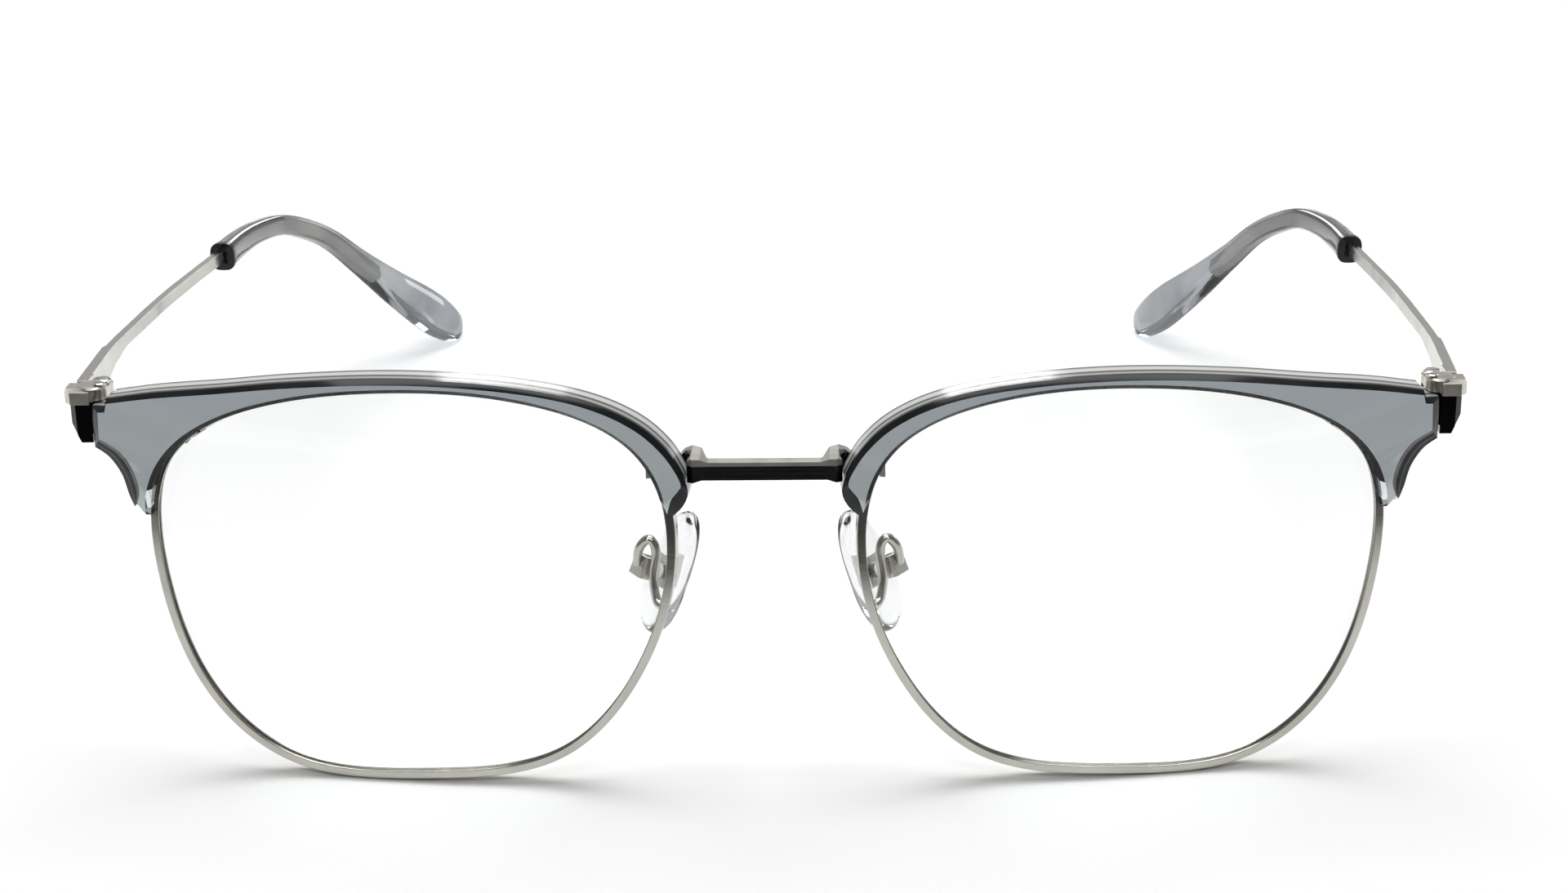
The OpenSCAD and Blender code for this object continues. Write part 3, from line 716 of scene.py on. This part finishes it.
def tip_ring(u):
    row = through(TIP, u)
    way = heading(TIP, u)
    thick = (Vector((1, 0, 0)) - way.x * way).normalized()
    wide = thick.cross(way)
    middle = Vector(row[:3])
    outline = oval(row[3], row[4], power=3, n=40)
    return [middle + a * wide + b * thick for a, b in outline]


def tip_mesh(side):
    steps = 12
    rings = [tip_ring(i / steps) for i in range((len(TIP) - 1) * steps + 1)]
    return loft(rings, on_side(FRONT, side))


for side in SIDES:
    show("temple_tip_" + side, tip_mesh(side), [TIP_PLASTIC], 0.15)

# ---------------------------------------------------------------- nose pads and their wires

PAD_PLACE = Vector((10.6, 7.6, -0.65))
PAD_SPLAY = math.radians(32)
PAD_FLARE = math.radians(24)
PAD_H, PAD_W, PAD_T = 13.4, 7.0, 2.6
PAD = (FRONT @ Matrix.Translation(PAD_PLACE) @ Matrix.Rotation(-PAD_SPLAY, 4, "Z")
       @ Matrix.Rotation(-PAD_FLARE, 4, "Y"))
# Middle line of the wire from the rim's rear face to the pad box
ARM = [
    (10.9, 2.1, -2.8), (11.1, 2.9, -2.7), (11.7, 3.7, -2.2), (12.0, 4.3, -0.2), (11.7, 4.7, 2.2),
    (11.9, 4.9, 3.6), (12.6, 5.1, 4.0), (13.5, 5.3, 2.9), (13.75, 5.55, 1.1),
]
ARM_R = 0.5


def pad_ring(v):
    """One level of the pad, v from 0 at its foot to 1 at its head."""
    squareness = 2.6
    wider_foot = 0.12
    bow = 0.09  # how far the two ends lie from a straight pad, as a part of its thickness
    level = math.cos(math.pi * v)  # 1 at the foot, -1 at the head
    wide = math.sqrt(max(1 - abs(level) ** squareness, 0))
    a = PAD_T / 2 * wide ** 0.8
    b = PAD_W / 2 * wide * (1 + wider_foot * level)
    bend = bow * level ** 2 * PAD_T
    outline = oval(a, b, power=2.4, n=40)
    return [Vector((x - bend, y, -level * PAD_H / 2)) for x, y in outline]


def pad_mesh(side):
    levels = 64
    return loft([pad_ring(i / levels) for i in range(1, levels)], on_side(PAD, side))


def arm_ring(u):
    way = heading(ARM, u)
    aside = way.cross(Vector((1, 0.3, 0))).normalized()
    across = way.cross(aside)
    middle = Vector(through(ARM, u))
    circle = oval(ARM_R, ARM_R, power=2, n=20)
    return [middle + a * aside + b * across for a, b in circle]


def arm_mesh(side):
    steps = 14
    rings = [arm_ring(i / steps) for i in range((len(ARM) - 1) * steps + 1)]
    return loft(rings, on_side(FRONT, side))


for side in SIDES:
    show("nose_pad_" + side, pad_mesh(side), [PAD_PLASTIC])
    show("pad_arm_" + side, arm_mesh(side), [RIM_METAL])

# ---------------------------------------------------------------- metal from the CAD shapes

show("bridge", clean_copy("bridge"), [BRIDGE_METAL], 0.15)
# Nodes of both sides, their material, and how far their edges are rounded
REFINED = [
    ("endpiece", ENDPIECE_METAL, 0.12), ("rim_lug", LUG_METAL, 0.1),
    ("temple", TEMPLE_METAL, 0.16), ("tip_collar", COLLAR, 0.08),
    ("brow_screw", SCREW_METAL, 0.05), ("brow_rivet", SCREW_METAL, 0.06),
    ("lock_screw", SCREW_METAL, 0.05), ("hinge_screw", SCREW_METAL, 0.06),
    ("pad_box", LUG_METAL, 0.34), ("pad_screw", SCREW_METAL, 0.05),
    ("pad_core", SCREW_METAL, 0.06),
]
for name, metal, bevel in REFINED:
    for side in SIDES:
        node = f"{name}_{side}"
        show(node, clean_copy(node), [metal], bevel)

# ---------------------------------------------------------------- table


def floor_material():
    """White table top, darker towards the front: painted shade where less light reaches the table."""
    # Painted shade: between these two places the table's colour darkens towards the front.
    painted_shade_from, painted_shade_to = -0.05, -0.16  # places between which it darkens, in metres
    made, tree, place = material("table_top")
    cloud = tree.noise(place, scale=3.0, detail=4)
    paper = tree.colours(cloud, (0.3, (0.90, 0.905, 0.90)), (0.75, (0.93, 0.93, 0.925)))
    along = tree.node("ShaderNodeSeparateXYZ", {0: place}).outputs["Y"]
    free_of_painted_shade = tree.between(along, painted_shade_to, painted_shade_from)
    shader = tree.node("ShaderNodeBsdfPrincipled", {
        # The grey at the front is painted shade.
        "Base Color": tree.mix(free_of_painted_shade, rgba(0.71, 0.725, 0.72), paper),
        "Roughness": 0.85,
        "Specular IOR Level": 0.1,
    })
    tree.surface(shader.outputs[0])
    return made


def sheet(name, half_x, y_from, y_to, z, made):
    """Flat rectangle that belongs to the surroundings and not to the part."""
    mesh = bpy.data.meshes.new(name)
    corners = [(-half_x, y_from, z), (half_x, y_from, z), (half_x, y_to, z), (-half_x, y_to, z)]
    mesh.from_pydata(corners, [], [(0, 1, 2, 3)])
    mesh.materials.append(made)
    obj = bpy.data.objects.new(name, mesh)
    bpy.context.scene.collection.objects.link(obj)
    return obj


def dark_card_material():
    made, tree, _ = material("dark_card")
    shader = tree.node("ShaderNodeBsdfPrincipled", {"Base Color": rgba(0.01, 0.01, 0.01)})
    tree.surface(shader.outputs[0])
    return made


sheet("table_top", half_x=5, y_from=-5, y_to=7, z=0, made=floor_material())
# A dark card in front of the glasses, which only reflections see
card = sheet(
    "dark_card", half_x=0.5, y_from=-0.75, y_to=-0.135, z=0.0005, made=dark_card_material())
card.visible_camera = False
card.visible_diffuse = False
card.visible_transmission = False
card.visible_shadow = False
card.visible_volume_scatter = False

# ---------------------------------------------------------------- light

SKY_BRIGHT = 0.45
SKY_DARK = 0.03


def sky():
    """Bright behind the glasses and dark in front of them."""
    world = bpy.data.worlds.new("studio")
    bpy.context.scene.world = world
    tree = Tree(world)
    way = tree.node("ShaderNodeTexCoord").outputs["Generated"]
    parts = tree.node("ShaderNodeSeparateXYZ", {0: way})
    back = tree.between(parts.outputs["Y"], -0.15, 0.45)
    light = tree.mix(back, rgba(SKY_DARK, SKY_DARK, SKY_DARK),
                     rgba(SKY_BRIGHT, SKY_BRIGHT, SKY_BRIGHT))
    shader = tree.node("ShaderNodeBackground", {"Color": light, "Strength": 1.0})
    tree.surface(shader.outputs[0], "ShaderNodeOutputWorld")


def softbox(name, place, target, width, height, power):
    lamp = bpy.data.lights.new(name, "AREA")
    lamp.shape = "RECTANGLE"
    lamp.size = width
    lamp.size_y = height
    lamp.energy = power
    obj = bpy.data.objects.new(name, lamp)
    bpy.context.scene.collection.objects.link(obj)
    obj.location = place
    obj.rotation_euler = (Vector(target) - Vector(place)).to_track_quat("-Z", "Y").to_euler()


# Name, place, what it is turned towards, width, height and power in watts
LAMPS = [
    ("softbox_top", (0, 0.35, 1.5), (0, 0, 0), 1.4, 1.0, 23),
    ("softbox_front", (0, -0.9, 1.2), (0, 0, 0.03), 0.9, 0.5, 5.5),
    ("strip_middle", (-0.08, 1.3, 0.32), (0, 0, 0.04), 0.26, 0.2, 0.9),
    ("strip_right", (0.95, 1.0, 0.34), (0, 0, 0.04), 0.3, 0.24, 1.0),
]
sky()
for lamp_row in LAMPS:
    softbox(*lamp_row)

# ---------------------------------------------------------------- camera

# All of these are the rounded results of a fit to the photo's outlines
CAMERA_PLACE = FRONT @ Vector((11.2, -263.464, 107.6))
YAW = math.radians(0.13)
PITCH = math.radians(24.0)
ROLL = math.radians(-0.33)
FOCAL_LENGTH = 63.34
SHIFT_X = -0.0615
SHIFT_Y = -0.013


def camera():
    data = bpy.data.cameras.new("camera")
    data.lens = FOCAL_LENGTH
    data.sensor_width = 36
    data.shift_x = SHIFT_X
    data.shift_y = SHIFT_Y
    data.clip_start = 0.01
    data.clip_end = 20
    obj = bpy.data.objects.new("camera", data)
    bpy.context.scene.collection.objects.link(obj)
    turn = (Matrix.Rotation(-YAW, 4, "Z") @ Matrix.Rotation(math.pi / 2 - PITCH, 4, "X")
            @ Matrix.Rotation(ROLL, 4, "Z"))
    obj.matrix_world = Matrix.Translation(CAMERA_PLACE) @ turn
    bpy.context.scene.camera = obj


camera()
bpy.context.scene.view_settings.view_transform = "Standard"
